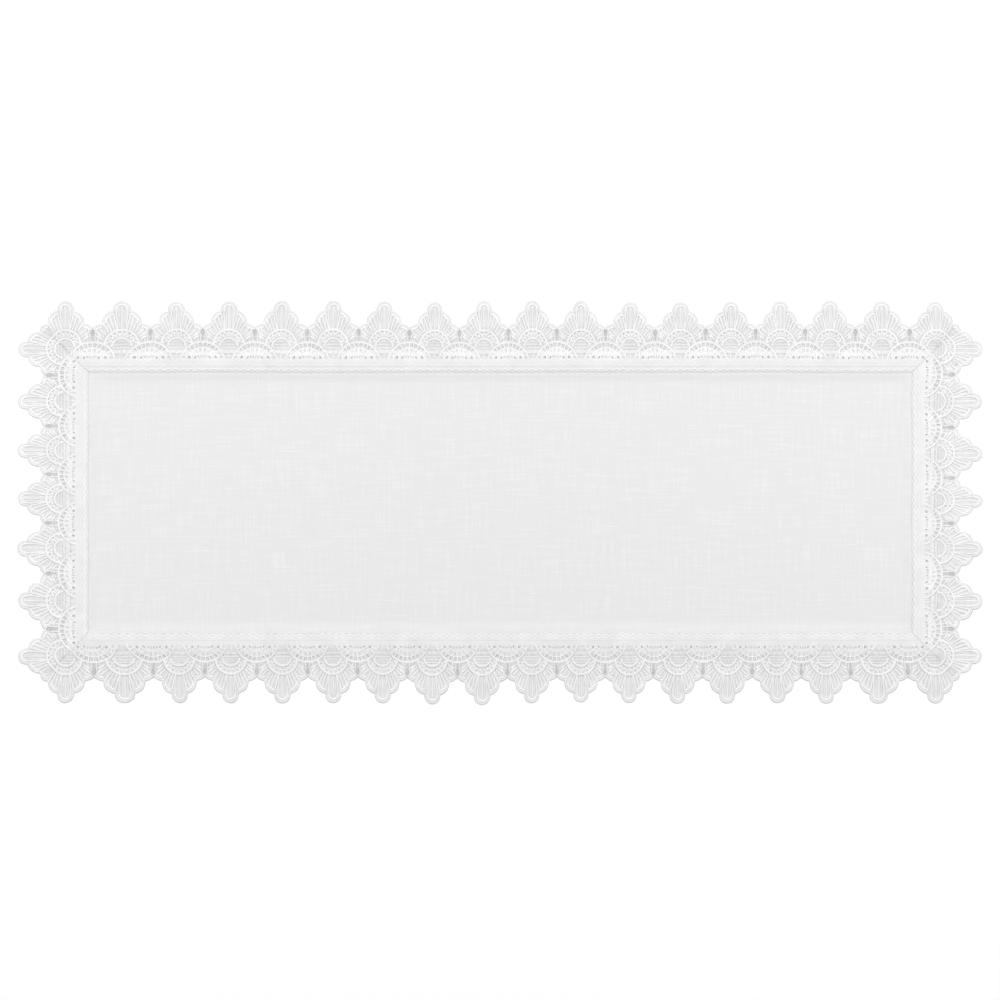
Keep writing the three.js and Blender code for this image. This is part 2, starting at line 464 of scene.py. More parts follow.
# The border cord's darker tone is painted shade on its outer flank.
for number, (a, b, rise) in enumerate(petal_edges):
    path = petal_edge(a, b, rise, border_width / 2, overrun=0.12)
    draw = stroke if number == 0 else stroke_pair
    draw(borders, path, border_width, 1.1, -0.2)

loop_inset = 3.4
for number, (a, b, rise) in enumerate(petal_edges):
    loop = petal_edge(a, b, rise, loop_inset, overrun=0.04)
    draw = stroke if number == 0 else stroke_pair
    draw(loops, loop, 2.3, 1.15)
crown_side = curve((4.3, 8.6), (4.6, 12.5), (4.1, 18.0), (3.3, 26.6))
stroke_pair(cords, crown_side, (2.0, 1.3), 1.0)
low_side = curve((20.4, 27.2), (20.3, 29.4), (18.8, 32.4), (16.4, 35.6))
stroke_pair(cords, low_side, (1.9, 1.4), 1.0)

# %% [markdown]
# ## Arches, eye and half-moons
#
# Under the petals a heavy arch spans the fan, a fine one follows it, and a smaller one inside them
# stands over a tall eye. Between two fans three half rings share one centre in the heading. The
# largest springs from close beside the fans' own axes, so it runs past the feet of both eyes and
# crosses both arches. Short bars join the rings like the rungs of a ladder, with a hole between each
# two, and two posts join the largest ring to the valley.

# %% Arches and rings
half_moon = np.array([half_pitch, 59.5])


def spoke(layer, centre, degrees, inner, outer, width, tall):
    a = math.radians(degrees)
    out = np.array([math.sin(a), -math.cos(a)])
    stroke(layer, curve(centre + out * inner, centre + out * outer), width, tall)


stroke(cords, arc((0, 41.3), (14.0, 14.0), -88, 88), 2.9, 1.1)
stroke(cords, arc((0, 42.0), (11.2, 11.1), -75, 75), 1.0, 0.55)
stroke(cords, arc((0, 43.4), (8.3, 8.3), -88, 88), 2.5, 1.05)
rings = ((20.7, 79, 2.4, 0.95), (15.4, 72, 1.9, 0.6), (10.4, 62, 1.9, 0.5))
for radius, reach_angle, wide, tall in rings:
    stroke(cords, arc(half_moon, (radius, radius), -reach_angle, reach_angle), wide, tall)
arch_middle = np.array([0, 41.8])
for degrees in np.linspace(-78, 78, 9):
    spoke(ribs, arch_middle, degrees, 11.4, 13.6, 1.9, 0.8)
for degrees in np.linspace(-68, 68, 8):
    spoke(ribs, arch_middle, degrees, 8.6, 11.0, 1.7, 0.8)
ladders = ((11, 65, 15.6, 20.4, 2.3, 0.8), (7, 54, 10.6, 15.2, 2.9, 0.4), (5, 36, 5.5, 10.2, 3.4, 0.35))
for rungs, reach_angle, inner, outer, wide, tall in ladders:
    for degrees in np.linspace(-reach_angle, reach_angle, rungs):
        spoke(fillings, half_moon, degrees, inner, outer, wide, tall)
for aside in (-1, 1):
    post = curve((half_pitch + aside * 1.4, 26.2), (half_pitch + aside * 2.7, 29.5),
                 (half_pitch + aside * 2.0, 34.0), (half_pitch + aside * 2.6, 38.6))
    stroke(fillings, post, 1.6, 1.3)
    stroke(fillings, post + (aside * 2.6, 2.2), 1.3, 0.9)
eye_bars = ((38.6, 6.2), (41.3, 7.2), (44.0, 7.6), (46.7, 6.8), (49.4, 5.6))
for height, half_span in eye_bars:
    stroke(fillings, curve((-half_span, height), (half_span, height)), 1.2, 0.7, -0.1)

# %% [markdown]
# ## Ribs and net
#
# Ribs of satin stitch stand in the petals and down the middle of the eye. Everything between the
# cords is held together by a close ground net of fine threads, which is denser in the half-moons. A
# second net is worked over it beside a small leaf-shaped slot under each valley. The slot has only a
# floor of loose threads low in the lace, and so have the holes along the foot of a half-moon; these
# threads are given a darker tone as painted shade.
# All are worked out by rule: threads cross the fan both ways at a fairly even spacing, and each is
# kept only where it lies inside the border cord and where its net is wanted.

# %% Ribs
rib_middle = np.array([0, 46.0])
rib_reaches = ((0, 40.0), (12.0, 33.2), (18.5, 34.0), (25.5, 32.8), (32.5, 30.0), (43.5, 27.4),
               (51, 26.4), (58.5, 24.8))
for degrees, outer in rib_reaches:
    a = math.radians(degrees)
    out = np.array([math.sin(a), -math.cos(a)])
    inner = 19.4 if degrees < 40 else 18.6
    rib = curve(rib_middle + out * inner, rib_middle + out * outer)
    if degrees:
        stroke_pair(ribs, rib, (1.35, 1.9), 1.0, 0.08)
    else:
        stroke(ribs, rib, (1.1, 1.3), 0.7)
stroke(fillings, curve((0, 45.0), (0, 57.5)), (1.0, 2.2), 0.7)
for aside in np.linspace(-15.6, 15.6, 7):
    bar = curve((half_pitch + aside, 50.0), (half_pitch + aside, 56.0))
    stroke(fillings, bar, 2.3, 0.5)

# %% Net


def inside(points, outline):
    """Which points lie inside a closed outline, by how often it passes on one side of them."""
    found = np.zeros(len(points), bool)
    x, y = points[:, 0], points[:, 1]
    for (ax, ay), (bx, by) in zip(outline, np.roll(outline, -1, axis=0)):
        if ay != by:
            crossing = (ay > y) != (by > y)
            found ^= crossing & (x < (bx - ax) * (y - ay) / (by - ay) + ax)
    return found


def in_slot(points):
    """The leaf-shaped slot between the two posts under each valley."""
    aside = half_pitch - np.abs(points[:, 0])
    below = (points[:, 1] - 29.8) / 3.4
    return aside < 1.6 * np.sqrt(np.clip(1 - below**2, 0, 1))


def in_moon(points):
    """The two inner ladders of a half-moon, and the whole foot of the fan."""
    out = np.hypot(half_pitch - np.abs(points[:, 0]), half_moon[1] - points[:, 1])
    return (out < 15.6) | (points[:, 1] > 46.0)


def in_foot_row(points):
    """The row of thinly covered holes along the foot of each half-moon, beside the heading."""
    aside = half_pitch - np.abs(points[:, 0])
    return (points[:, 1] > 51.9) & (points[:, 1] < 54.5) & (aside < 15.6)


def beside_slot(points):
    """Where the second net is worked, between the foot of the slot and the half-moon."""
    aside = half_pitch - np.abs(points[:, 0])
    return (points[:, 1] > 33.5) & (points[:, 1] < 41.0) & (aside < 7)


net_top = 4.0
net_bottom = 56.0
net_test_step = 0.3
net_longest_step = 6.0


def net_region():
    """The outline of one repeat, close inside the border cord."""
    right = [petal_edge(a, b, rise, 2.0) for a, b, rise in petal_edges[1:]]
    crown = petal_edge(*petal_edges[0], 2.0)
    left = [path[::-1] * (-1, 1) for path in right[::-1]]
    foot = [(half_pitch, 26.5), (half_pitch, net_bottom), (-half_pitch, net_bottom),
            (-half_pitch, 26.5)]
    return np.vstack([*left, crown, *right, foot])


def net_threads(layer, start, end, width, level, where):
    """The stretches of one straight thread that the net keeps."""
    count = int(np.linalg.norm(np.subtract(end, start)) / net_test_step)
    t = np.linspace(0, 1, count)[:, None]
    points = np.array(start) * (1 - t) + np.array(end) * t
    kept = inside(points, region) & where(points)
    edges = np.flatnonzero(np.diff(np.concatenate([[False], kept, [False]]).astype(int)))
    for first, last in zip(edges[::2], edges[1::2]):
        if last - first > 2:
            steps = max(2, int((last - first) * net_test_step / net_longest_step) + 1)
            picked = np.linspace(first, last - 1, steps).astype(int)
            stroke(layer, points[picked], width, width * 0.55, level)


region = net_region()


def net(layer, spacing, width, level, where):
    """Each thread is a little out of place, as worked threads are."""
    rows = np.arange(net_top, net_bottom, spacing)
    for row in rows + net_chance.uniform(-0.2, 0.2, len(rows)) * spacing:
        net_threads(layer, (-half_pitch, row), (half_pitch, row), width, level - 0.06, where)
    columns = round(fan_pitch / spacing)
    places = (np.arange(columns) + 0.5) * fan_pitch / columns - half_pitch
    for column in places + net_chance.uniform(-0.2, 0.2, columns) * spacing:
        net_threads(layer, (column, net_top), (column, net_bottom), width, level + 0.06, where)


net_chance = np.random.default_rng(5)
net(fillings, 1.5, 0.6, 0.05, beside_slot)
net(ground, 0.95, 0.78, -0.28, lambda points: ~in_moon(points) & ~in_slot(points))
net(ground, 0.95, 0.92, -0.05, lambda points: in_moon(points) & ~in_foot_row(points))
# painted shade: the slot and foot-row threads take the darkest tone
net(painted_shade_net, 1.0, 0.68, -0.3, in_slot)
net(painted_shade_net, 1.3, 0.62, -0.1, in_foot_row)
print(f"one repeat: {len(cords)} cords, {len(fillings)} ribs, bars and net threads, "
      f"{len(ground)} ground threads")

# %% [markdown]
# ## Turning strokes into thread
#
# Each layer of strokes becomes one mesh of bare lines that carry their half width and flatness as
# attributes. A Geometry Nodes tree turns the lines into curves, puts a ring of points at every
# stitch, swells every other ring so that the cord shows the ridges of satin stitch, sweeps a round
# section along them, flattens it, and repeats the motif along the strip. Real satin stitches are
# 0.4 mm apart, which is too fine to show, so the ridges are drawn 1.3 to 1.8 mm apart.

# %% Tree that works the cords


def work_cords_tree():
    tree = bpy.data.node_groups.new("work_cords", "GeometryNodeTree")
    sockets = [("Lines", "NodeSocketGeometry"), ("Ring spacing", "NodeSocketFloat"),
               ("Ridge", "NodeSocketFloat"), ("Sides", "NodeSocketInt"),
               ("Repeats", "NodeSocketInt"), ("First", "NodeSocketVector"),
               ("Step", "NodeSocketVector"), ("Material", "NodeSocketMaterial")]
    for name, kind in sockets:
        tree.interface.new_socket(name, in_out="INPUT", socket_type=kind)
    tree.interface.new_socket("Thread", in_out="OUTPUT", socket_type="NodeSocketGeometry")
    given = tree.nodes.new("NodeGroupInput").outputs
    lines = node(tree, "GeometryNodeMeshToCurve", Mesh=given["Lines"])
    rings = node(tree, "GeometryNodeResampleCurve", {"mode": "LENGTH"}, Curve=lines.outputs[0],
                 Length=given["Ring spacing"])
    half_width = node(tree, "GeometryNodeInputNamedAttribute", Name="half_width").outputs[0]
    flatness = node(tree, "GeometryNodeInputNamedAttribute", Name="flatness").outputs[0]
    level = node(tree, "GeometryNodeInputNamedAttribute", Name="level").outputs[0]
    number = node(tree, "GeometryNodeInputIndex").outputs[0]
    odd = node(tree, "ShaderNodeMath", {"operation": "MODULO"}, in0=number, in1=2.0).outputs[0]
    swell = node(tree, "ShaderNodeMath", {"operation": "MULTIPLY_ADD"}, in0=odd,
                 in1=given["Ridge"], in2=1.0).outputs[0]
    ring_size = node(tree, "ShaderNodeMath", {"operation": "MULTIPLY"}, in0=half_width, in1=swell)
    section = node(tree, "GeometryNodeCurvePrimitiveCircle", Resolution=given["Sides"], Radius=1.0)
    swept = node(tree, "GeometryNodeCurveToMesh", Curve=rings.outputs[0],
                 Profile_Curve=section.outputs[0], Scale=ring_size.outputs[0], Fill_Caps=True)
    at = node(tree, "GeometryNodeInputPosition").outputs[0]
    parts = node(tree, "ShaderNodeSeparateXYZ", Vector=at).outputs
    low = node(tree, "ShaderNodeMath", {"operation": "MULTIPLY_ADD"}, in0=parts["Z"],
               in1=flatness, in2=level).outputs[0]
    flat_at = node(tree, "ShaderNodeCombineXYZ", X=parts["X"], Y=parts["Y"], Z=low).outputs[0]
    flat = node(tree, "GeometryNodeSetPosition", Geometry=swept.outputs[0], Position=flat_at)
    smooth = node(tree, "GeometryNodeSetShadeSmooth", Geometry=flat.outputs[0])
    places = node(tree, "GeometryNodeMeshLine", Count=given["Repeats"],
                  Start_Location=given["First"], Offset=given["Step"])
    copies = node(tree, "GeometryNodeInstanceOnPoints", Points=places.outputs[0],
                  Instance=smooth.outputs[0])
    real = node(tree, "GeometryNodeRealizeInstances", Geometry=copies.outputs[0])
    dressed = node(tree, "GeometryNodeSetMaterial", Geometry=real.outputs[0],
                   Material=given["Material"])
    out = tree.nodes.new("NodeGroupOutput")
    tree.links.new(dressed.outputs[0], out.inputs[0])
    return tree


work_cords = work_cords_tree()


def set_inputs(modifier, values):
    """Sets a modifier's inputs by their sockets' identifiers, which names are looked up for."""
    items = modifier.node_group.interface.items_tree
    names = {item.name: item.identifier for item in items if item.in_out == "INPUT"}
    for name, value in values.items():
        modifier[names[name]] = value


def result_of(holder, name):
    """The evaluated object as a plain mesh object of its own; the holder goes."""
    graph = bpy.context.evaluated_depsgraph_get()
    mesh = bpy.data.meshes.new_from_object(holder.evaluated_get(graph))
    mesh.name = name
    for attribute in [a.name for a in mesh.attributes if a.name in ("half_width", "flatness", "level")]:
        mesh.attributes.remove(mesh.attributes[attribute])
    bpy.data.objects.remove(holder)
    made = bpy.data.objects.new(name, mesh)
    scene.collection.objects.link(made)
    return made


def lines_mesh(layer):
    """The strokes of a layer as bare lines, in metres, with what each point needs to know."""
    points, edges, half_width, flatness, level = [], [], [], [], []
    for path, half, tall, height in layer:
        first = len(points)
        points += [(x * MM, y * MM, 0.0) for x, y in path]
        edges += [(first + i, first + i + 1) for i in range(len(path) - 1)]
        half_width += list(half * MM)
        flatness += list(tall / half)
        level += [height * MM] * len(path)
    mesh = bpy.data.meshes.new("lines")
    mesh.from_pydata(points, edges, [])
    for name, values in (("half_width", half_width), ("flatness", flatness), ("level", level)):
        mesh.attributes.new(name, "FLOAT", "POINT").data.foreach_set("value", values)
    return mesh


def grown(mesh, name, tree, values):
    """The object that a tree makes of a bare mesh."""
    holder = bpy.data.objects.new(name, mesh)
    scene.collection.objects.link(holder)
    modifier = holder.modifiers.new(tree.name, "NODES")
    modifier.node_group = tree
    set_inputs(modifier, values)
    return result_of(holder, name)


def work_layer(name, layer, ring_spacing, ridge, sides, material, repeats=1, step=0.0):
    """Works a layer of strokes, once or as repeats one step apart along u."""
    start = -(repeats - 1) / 2 * step
    return grown(lines_mesh(layer), name, work_cords, {
        "Ring spacing": ring_spacing * MM, "Ridge": ridge, "Sides": sides, "Repeats": repeats,
        "First": (start * MM, 0.0, 0.0), "Step": (step * MM, 0.0, 0.0), "Material": material,
    })


# %% [markdown]
# ## Mitres, and laying a strip in its place
#
# The motif is worked one repeat past each corner and then cut along the corner's diagonal, as the
# maker cuts the strips before joining them. Each cut thread is capped. Then the strip is lifted
# over the hem, turned to its side of the runner and moved there, all in its mesh, so the object
# itself stays at the origin.

# %% Cut and place


mitre_gap = 0.02


def cut_mitres(piece, span):
    mesh = piece.data
    work = bmesh.new()
    work.from_mesh(mesh)
    for side in (-1, 1):
        place = (side * (span / 2 - mitre_gap) * MM, 0, 0)
        everything = work.verts[:] + work.edges[:] + work.faces[:]
        cut = bmesh.ops.bisect_plane(work, geom=everything, plane_co=place,
                                     plane_no=(side, 1, 0), clear_outer=True)
        rim = [e for e in cut["geom_cut"] if isinstance(e, bmesh.types.BMEdge)]
        bmesh.ops.holes_fill(work, edges=[e for e in rim if e.is_boundary], sides=0)
    work.to_mesh(mesh)
    work.free()


def get_points(mesh):
    flat = np.empty(len(mesh.vertices) * 3)
    mesh.vertices.foreach_get("co", flat)
    return flat.reshape(-1, 3) / MM


def set_points(mesh, points):
    mesh.vertices.foreach_set("co", (points * MM).ravel())
    mesh.update()


side_turns = {"front": 0, "right": 1, "back": 2, "left": 3}
side_spans = {"front": runner_length, "back": runner_length, "left": runner_width,
              "right": runner_width}
# How each strip was pinned: the drift of its middle (mm), the share of its length by which the fans
# are drawn together, and how much of the half length that takes.
side_eases = {"front": (6.2, 0.0133, 1.2), "right": (1.5, 0.012, 0.3), "back": (-7.5, 0.0065, 0.45),
              "left": (-3.0, 0.014, 1.0)}


def place_on_side(points, side):
    """Points of a strip, u along it and v inwards, moved to a side of the runner."""
    u, v, z = points.T
    from_middle = runner_width / 2 if side in ("front", "back") else runner_length / 2
    x, y = u, v - from_middle
    for _ in range(side_turns[side]):
        x, y = -y, x
    return np.stack([x, y, z], axis=1)


# %% [markdown]
# ## How cloth lies
#
# Nothing made of cloth lies dead flat. The whole runner has a slow, shallow swell, and its lace is
# pulled a little out of line by the ironing. One field of smooth waves, worked out from the place on
# the table alone, moves the panel, the lace and the stitches together, so that they stay joined.

# %% The lie of the whole runner
chance = np.random.default_rng(11)


def wave_field(count, shortest, longest):
    """Random smooth waves over the table: their lengths, directions and starts."""
    return (chance.uniform(shortest, longest, count), chance.uniform(0, 2 * math.pi, count),
            chance.uniform(0, 2 * math.pi, (count, 3)))


slow_waves = wave_field(9, 90, 260)
quick_waves = wave_field(9, 22, 60)


def waver(field, x, y):
    """Three values at each place, mostly between -1 and 1."""
    lengths, turns, starts = field
    total = np.zeros((3, len(x)))
    for length, turn, start in zip(lengths, turns, starts):
        phase = 2 * math.pi * (x * math.cos(turn) + y * math.sin(turn)) / length
        total += np.sin(phase + start[:, None])
    return total / math.sqrt(2 * len(lengths))


settle_lift = 0.2  # keeps the hollows of the waves off the table


def settle(points):
    """Moves points by the runner's own waves, most at the free tips of the lace."""
    x, y, z = points.T
    outside = np.maximum(np.abs(x) - panel_half[0], np.abs(y) - panel_half[1])
    free = smooth_step(outside, -12.0, fold_inset)
    slow = waver(slow_waves, x, y)
    quick = waver(quick_waves, x, y)
    shift = (0.3 + 0.6 * free) * slow + 0.28 * free * quick
    lifted = z + settle_lift + (0.1 + 0.08 * free) * slow[2] + 0.05 * free * quick[2]
    return np.stack([x + shift[0], y + shift[1], lifted], axis=1)


ease_fade = 80.0


def ease(points, side):
    """Eased u: fans near the middle lie closer together and a little to one side; mitres stay."""
    u, v = points[:, 0], points[:, 1]
    run = side_spans[side] / 2 - corner_offset
    fixed = np.minimum(run, side_spans[side] / 2 - v - 2)
    drift, share, reach_share = side_eases[side]
    pull = share * 2 * run * np.sin(math.pi / 2 * np.clip(u / (reach_share * run), -1, 1))
    kept = 1 - smooth_step(np.abs(u), fixed - ease_fade, fixed)
    return u + (drift * (1 - (u / run) ** 2) - pull) * kept


def lay_strip_piece(piece, side, base):
    cut_mitres(piece, side_spans[side])
    points = get_points(piece.data)
    points[:, 0] = ease(points, side)
    points[:, 2] += base + lace_lift(points[:, 1])
    set_points(piece.data, settle(place_on_side(points, side)))
    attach(piece, "root")


# %% [markdown]
# ## Heading
#
# The inner part of a strip is a close, solid band: three flat cords side by side, and then three
# fine wavy cords on a thin backing, with bars between them that leave two staggered rows of small
# hollows. The last wavy cord is the row of picots, over the raw edge of the hem. There are seven
# hollows of each row to a fan.

# %% Heading strokes
heading = []
edging = []
hollows_per_fan = 7
hollow_pitch = fan_pitch / hollows_per_fan
for middle, wide, tall in ((56.2, 2.8, 0.4), (57.7, 3.8, 0.45), (60.4, 3.8, 0.5)):
    stroke(heading, curve((-half_pitch, middle), (half_pitch, middle)), wide, tall)
stroke(heading, curve((-half_pitch, 63.8), (half_pitch, 63.8)), 5.4, 0.36, -0.05)
along = np.linspace(-half_pitch, half_pitch, 85)
turns = np.cos(2 * math.pi * along / hollow_pitch)
for middle, swing, wide in ((62.6, 0.3, 1.5), (64.6, -0.5, 1.5), (66.4, 0.55, 1.4)):
    stroke(edging, np.stack([along, middle + swing * turns], axis=1), wide, 0.45)
for bar in range(hollows_per_fan):
    at = -half_pitch + (bar + 0.5) * hollow_pitch
    between = at - hollow_pitch / 2
    stroke(edging, curve((at, 62.4), (at, 64.4)), 3.2, 0.4)
    stroke(edging, curve((between, 64.4), (between, 66.3)), 3.0, 0.36)

# %% Work and lay the four strips
lace_base = 0.78  # height of the middle of the lace over the table, before it settles
# Each part of a strip: its strokes, the spacing of its rings (mm), its ridge and its sides.
strip_parts = {
    "border": (borders, 0.9, 0.08, 6),
    "cords": (cords, 0.65, 0.1, 6),
    "fillings": (fillings, 3.0, 0.0, 4),
    "loops": (loops, 0.65, 0.1, 6),
    "ribs": (ribs, 0.9, 0.06, 6),
    "ground": (ground, 6.0, 0.0, 4),
    "slots": (painted_shade_net, 6.0, 0.0, 4),
    "heading": (heading, 1.6, 0.08, 6),
    "edging": (edging, 0.9, 0.06, 5),
}
strip_pieces = {}
for side, span in side_spans.items():
    # painted light: the short sides take the brighter tones
    card = "long" if span == runner_length else "short"
    made = {}
    for part, (layer, spacing, ridge, sides) in strip_parts.items():
        made[part] = work_layer(f"lace_{side}_{part}", layer, spacing, ridge, sides,
                                cottons[card, part], fan_count(span) + 2, fan_step(span))
    for part, piece in made.items():
        lay_strip_piece(piece, side, lace_base)
        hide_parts(f"lace_{side}")
        triangles = sum(len(p.vertices) - 2 for p in piece.data.polygons)
        print(f"{piece.name}: {triangles} triangles")
    strip_pieces[side] = made

# %% [markdown]
# ## Panel cloth
#
# The panel is one sheet, folded under all round. Its mesh starts as a grid that lies on the table
# and climbs on to the hem near its edges. Rings of points carry on from there, round the fold and
# back underneath. Each ring is a smaller rectangle than the fold, so the turned edge is mitred at the
# corners. The sheet has no thickness until Solidify gives it one.

# %% The folded sheet
cloth_thickness = 0.55
panel_cell = 3.0
border_level = panel_high[2] - cloth_thickness / 2
hem_width = lace_width - fold_inset
fold_height = 0.9
hem_level = border_level - fold_height


def panel_sheet():
    """The points and faces of the sheet, and how many of the points are the grid's."""
    columns = int(2 * panel_half[0] / panel_cell) + 1
    rows = int(2 * panel_half[1] / panel_cell) + 1
    x = np.linspace(-panel_half[0], panel_half[0], columns)
    y = np.linspace(-panel_half[1], panel_half[1], rows)
    points = [(a, b, 0.0) for b in y for a in x]
    faces = []
    for row in range(rows - 1):
        for column in range(columns - 1):
            first = row * columns + column
            faces.append((first, first + 1, first + columns + 1, first + columns))
    rim = list(range(columns))
    rim += [row * columns + columns - 1 for row in range(1, rows)]
    rim += [(rows - 1) * columns + i for i in range(columns - 2, -1, -1)]
    rim += [row * columns for row in range(rows - 2, 0, -1)]
    turn = np.linspace(0, math.pi, 5)[1:]
    radius = (border_level - hem_level) / 2
    rings = [(-radius * math.sin(a), hem_level + radius + radius * math.cos(a)) for a in turn]
    rings += [(inset, hem_level) for inset in np.linspace(0, hem_width, 5)[1:]]
    previous = rim
    for inset, level in rings:
        scale = (panel_half - inset) / panel_half
        ring = []
        for index in rim:
            px, py = points[index][:2]
            ring.append(len(points))
            points.append((px * scale[0], py * scale[1], level))
        for i in range(len(rim)):
            j = (i + 1) % len(rim)
            faces.append((previous[j], previous[i], ring[i], ring[j]))
        previous = ring
    return np.array(points), faces, rows * columns


def panel_level(x, y):
    """Height of the cloth's middle: on the table, and up on the hem near the edges."""
    inset = np.minimum(panel_half[0] - np.abs(x), panel_half[1] - np.abs(y))
    rise = 1 - smooth_step(inset, hem_width + 1.0, hem_width + 9.0)
    return cloth_thickness / 2 + (border_level - cloth_thickness / 2) * rise


def puckers(x, y):
    """The seam gathers the cloth a little: short ripples that run in from the lace and fade."""
    inset = np.minimum(panel_half[0] - np.abs(x), panel_half[1] - np.abs(y))
    from_end = panel_half[0] - np.abs(x) < panel_half[1] - np.abs(y)
    along_edge = np.where(from_end, y, x)
    fade = np.exp(-np.clip(inset - hem_width, 0, None) / 9.0)
    ripple = np.sin(along_edge / 5.3 + 2.1 * np.sin(along_edge / 31)) + 0.6 * np.sin(along_edge / 2.9)
    return 0.16 * fade * ripple * smooth_step(inset, hem_width - 2, hem_width + 2)


points, faces, grid_count = panel_sheet()
grid_x, grid_y = points[:grid_count, 0], points[:grid_count, 1]
points[:grid_count, 2] = panel_level(grid_x, grid_y) + puckers(grid_x, grid_y)
panel = sheet_object("panel_cloth", settle(points) * MM, faces, panel_cotton)
for face in panel.data.polygons:
    face.use_smooth = True
thick = panel.modifiers.new("cloth_thickness", "SOLIDIFY")
thick.thickness = cloth_thickness * MM
thick.offset = 0.0
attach(panel, "root")
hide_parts("centre_panel")

# %% [markdown]
# ## Slub yarns
#
# A slub is a soft, thick stretch of one yarn, and it stands a little proud of the weave. The
# strongest ones are real geometry: short, flat, tapered lengths of yarn, along the warp or along
# the weft, at random places. They go through the same tree as the lace, because a slub too is a
# line with a width, and they are laid on the panel's surface afterwards.

# %% Slub yarns
slub_count = 360
slub_chance = np.random.default_rng(23)
open_half = panel_half - hem_width - 3.0
slubs = []
for _ in range(slub_count):
    length = slub_chance.uniform(7, 34)
    middle = slub_chance.uniform(-1, 1, 2) * (open_half - length / 2)
    along_yarn = np.array([1.0, 0.0]) if slub_chance.random() < 0.5 else np.array([0.0, 1.0])
    t = np.linspace(-0.5, 0.5, 7)
    bend = 0.25 * np.sin(math.pi * (t + slub_chance.random()))[:, None] * along_yarn[::-1]
    taper = 0.06 + np.cos(math.pi * t) ** 0.7 * slub_chance.uniform(0.25, 0.5)
    slubs.append((middle + along_yarn * length * t[:, None] + bend, taper, 0.13 * taper, -0.04))


def surface_of_panel(x, y):
    return panel_level(x, y) + puckers(x, y) + cloth_thickness / 2


slub_yarns = work_layer("slub_yarns", slubs, 2.4, 0.0, 5, slub_cotton)
points = get_points(slub_yarns.data)
points[:, 2] += surface_of_panel(points[:, 0], points[:, 1])
set_points(slub_yarns.data, settle(points))
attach(slub_yarns, "root")
print(f"{slub_count} slubs, {len(slub_yarns.data.polygons)} faces")

# %% [markdown]
# ## Stitches
#
# The lace is sewn to the hem by two rows of lockstitch, and each mitre is joined by a zigzag. A
# stitch on top is one short arch of needle thread that dives into the lace at both its ends, and
# below the hem the bobbin thread makes the same arch upside down. One Geometry Nodes tree sews both:
# it walks a line in steps of one stitch, turns a small swept arch to the line's direction at each
# step, and for a zigzag leans every other arch the other way.

# %% Tree that sews a row


def sew_row_tree():
    tree = bpy.data.node_groups.new("sew_row", "GeometryNodeTree")
    sockets = [("Line", "NodeSocketGeometry"), ("Stitch", "NodeSocketFloat"),
               ("Start", "NodeSocketVector"), ("Crown", "NodeSocketVector"),
               ("End", "NodeSocketVector"), ("Thread radius", "NodeSocketFloat"),
               ("Lean", "NodeSocketFloat"), ("Material", "NodeSocketMaterial")]
    for name, kind in sockets:
        tree.interface.new_socket(name, in_out="INPUT", socket_type=kind)
    tree.interface.new_socket("Stitches", in_out="OUTPUT", socket_type="NodeSocketGeometry")
    given = tree.nodes.new("NodeGroupInput").outputs
    line = node(tree, "GeometryNodeMeshToCurve", Mesh=given["Line"])
    steps = node(tree, "GeometryNodeCurveToPoints", {"mode": "LENGTH"}, Curve=line.outputs[0],
                 Length=given["Stitch"])
    arch = node(tree, "GeometryNodeCurveQuadraticBezier", Resolution=4, Start=given["Start"],
                Middle=given["Crown"], End=given["End"])
    section = node(tree, "GeometryNodeCurvePrimitiveCircle", Resolution=5,
                   Radius=given["Thread radius"])
    stitch = node(tree, "GeometryNodeCurveToMesh", Curve=arch.outputs[0],
                  Profile_Curve=section.outputs[0], Fill_Caps=True)
    smooth = node(tree, "GeometryNodeSetShadeSmooth", Geometry=stitch.outputs[0])
    number = node(tree, "GeometryNodeInputIndex").outputs[0]
    odd = node(tree, "ShaderNodeMath", {"operation": "MODULO"}, in0=number, in1=2.0).outputs[0]
    side = node(tree, "ShaderNodeMath", {"operation": "MULTIPLY_ADD"}, in0=odd, in1=2.0,
                in2=-1.0).outputs[0]
    lean = node(tree, "ShaderNodeMath", {"operation": "MULTIPLY"}, in0=side,
                in1=given["Lean"]).outputs[0]
    lean_turn = node(tree, "FunctionNodeEulerToRotation",
                     Euler=node(tree, "ShaderNodeCombineXYZ", Z=lean).outputs[0])
    along = node(tree, "FunctionNodeAlignRotationToVector", {"axis": "X"},
                 Vector=steps.outputs["Tangent"])
    turned = node(tree, "FunctionNodeRotateRotation", {"rotation_space": "LOCAL"},
                  Rotation=along.outputs[0], Rotate_By=lean_turn.outputs[0])
    copies = node(tree, "GeometryNodeInstanceOnPoints", Points=steps.outputs[0],
                  Instance=smooth.outputs[0], Rotation=turned.outputs[0])
    real = node(tree, "GeometryNodeRealizeInstances", Geometry=copies.outputs[0])
    dressed = node(tree, "GeometryNodeSetMaterial", Geometry=real.outputs[0],
                   Material=given["Material"])
    out = tree.nodes.new("NodeGroupOutput")
    tree.links.new(dressed.outputs[0], out.inputs[0])
    return tree


sew_row = sew_row_tree()


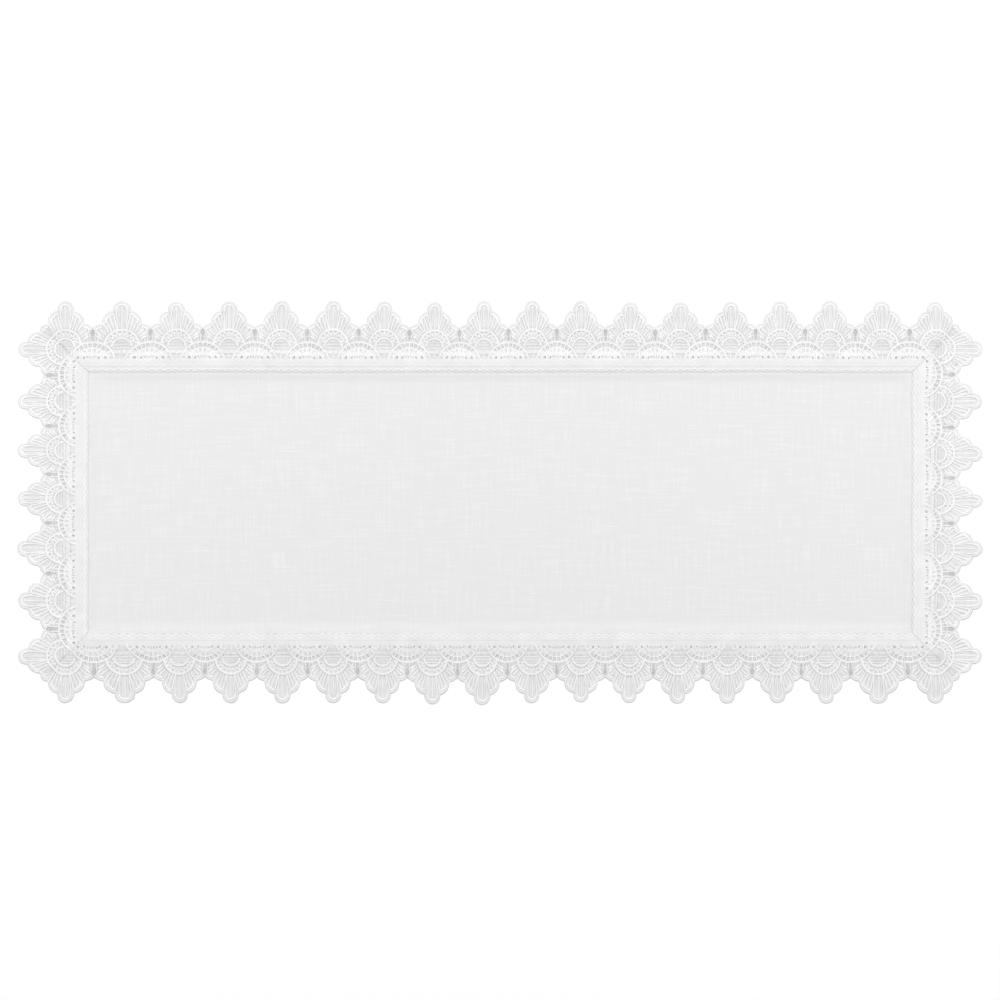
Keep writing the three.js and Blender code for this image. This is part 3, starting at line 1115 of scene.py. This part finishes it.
def sew(name, line, closed, stitch_length, lean, upwards, replaced):
    """Sews along a line of points (mm); upwards is 1 for needle thread and -1 for bobbin."""
    count = len(line)
    edges = [(i, (i + 1) % count) for i in range(count if closed else count - 1)]
    mesh = bpy.data.meshes.new("line")
    mesh.from_pydata([tuple(p) for p in np.array(line) * MM], edges, [])
    half = stitch_length / 2 / math.cos(lean)
    dive = stitch_dive * upwards
    piece = grown(mesh, name, sew_row, {
        "Stitch": stitch_length * MM, "Start": (-half * MM, 0.0, -dive * MM),
        "Crown": (0.0, 0.0, dive * MM), "End": (half * MM, 0.0, -dive * MM),
        "Thread radius": sewing_thickness / 2 * MM, "Lean": lean, "Material": sewing_polyester,
    })
    set_points(piece.data, settle(get_points(piece.data)))
    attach(piece, "root")
    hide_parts(replaced)
    return piece


# %% Rows round the runner and zigzags over the mitres
sewing_thickness = 0.32
stitch_dive = 0.3
row_stitch = 2.6
row_height = 0.25  # of a row's middle line over the middle of the lace
zigzag_stitch = 1.6
zigzag_lean = math.radians(48)
zigzag_height = 0.42
hem_underside = hem_level - cloth_thickness / 2
rows = {}
row_insets = {"outer": 56.8, "inner": 64.5}  # from the line of the fan tips
for row, inset in row_insets.items():
    top = lace_base + lace_lift(inset) + row_height
    across = np.array([runner_length / 2 - inset, runner_width / 2 - inset])
    corners = [across * s for s in ((-1, -1), (1, -1), (1, 1), (-1, 1))]
    for thread, level, upwards in (("needle", top, 1), ("bobbin", hem_underside, -1)):
        name = f"{row}_row_{thread}_thread"
        line = [(*corner, level) for corner in corners]
        rows[name] = sew(f"{name}_stitches", line, True, row_stitch, 0.0, upwards, name)
seam_start = 27.5  # just inside the lace's edge at the corner
seam_v = np.arange(seam_start, lace_width - 2.0, 1.0)
for back_front, y_side in (("front", -1), ("back", 1)):
    for left_right, x_side in (("left", -1), ("right", 1)):
        name = f"corner_seam_{back_front}_{left_right}"
        line = [(x_side * (runner_length / 2 - v), y_side * (runner_width / 2 - v),
                 lace_base + lace_lift(v) + zigzag_height) for v in seam_v]
        rows[name] = sew(f"{name}_zigzag", line, False, zigzag_stitch, zigzag_lean, 1, name)
print("stitched:", ", ".join(f"{n} {len(p.data.polygons)}" for n, p in rows.items()))

# %% [markdown]
# ## Sheets
#
# Every sheet of cloth is declared with the size it was cut to. The panel was cut with its turned
# edge laid out flat. A lace strip is as long as its side of the runner, and its cloth is what is
# left of that band when the two mitres and the scallops are taken away.

for side, span in side_spans.items():
    made = strip_pieces[side]
